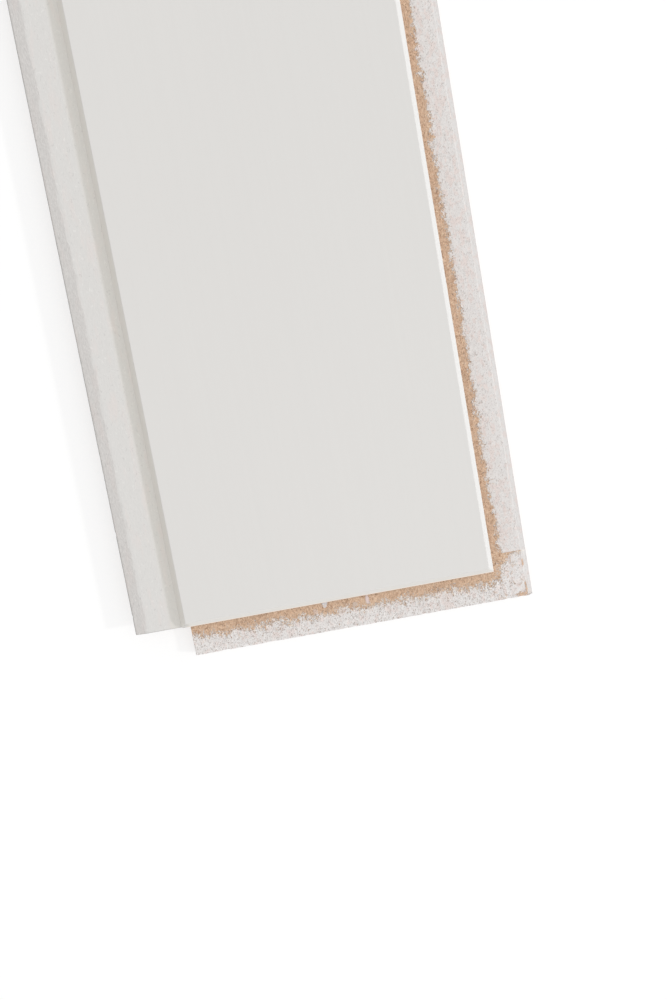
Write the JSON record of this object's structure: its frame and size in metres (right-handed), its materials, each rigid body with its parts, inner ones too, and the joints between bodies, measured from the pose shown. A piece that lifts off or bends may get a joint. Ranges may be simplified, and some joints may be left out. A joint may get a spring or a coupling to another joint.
{
  "type": "wood fibre wall panel",
  "caption": "Flat wood fibre wall board, painted white on the face, with tongue and groove on all edges and a shadow gap along its length.",
  "frame": {"origin": "middle of the back's bounding box, at the level of the back", "axes": "+X across the width towards the long groove and nailing lip, +Y along the length towards the end tongue, +Z out of the painted face"},
  "size_m": [0.138, 2.406, 0.012],
  "materials": {
    "painted_fibreboard": "satin white paint on the face and tongues, thin overspray on the nailing lips, bare brown pressed wood fibre in the grooves, on the cut ends and on the back"
  },
  "bodies": {
    "root": {"wall_panel": "painted_fibreboard"}
  },
  "joints": []
}
